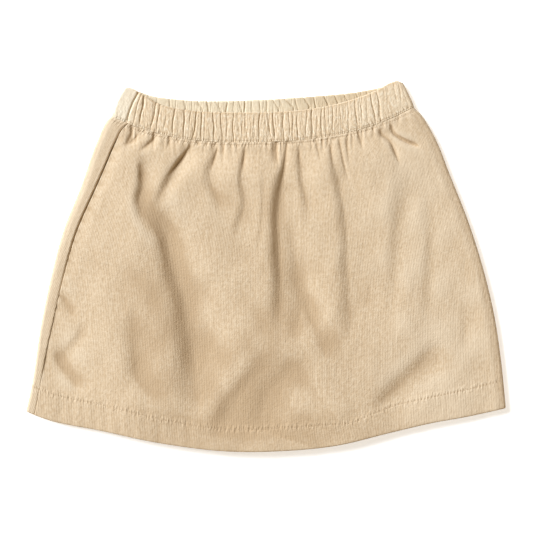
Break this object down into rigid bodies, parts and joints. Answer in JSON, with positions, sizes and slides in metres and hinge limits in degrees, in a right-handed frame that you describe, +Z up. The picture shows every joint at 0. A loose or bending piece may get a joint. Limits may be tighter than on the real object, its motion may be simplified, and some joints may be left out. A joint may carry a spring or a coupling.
{
  "type": "skort",
  "caption": "Pull-on fine-wale corduroy skort lying flat: an A-line skirt gathered into an elastic waistband, over plain inner shorts.",
  "frame": {"origin": "on the table, under the middle of the garment's outline", "axes": "+X across the garment to the viewer's right, +Y up the garment from the hem towards the waist, +Z up from the table through the back and then the front"},
  "size_m": [0.3592, 0.2766, 0.0085],
  "materials": {
    "corduroy": "brushed fine-wale cotton corduroy, matt with a soft nap",
    "jersey": "matt cotton jersey"
  },
  "bodies": {
    "root": {"skirt_front": "corduroy", "skirt_back": "corduroy", "waistband_front": "corduroy", "waistband_back": "corduroy", "shorts_left": "jersey", "shorts_right": "jersey"}
  },
  "joints": []
}
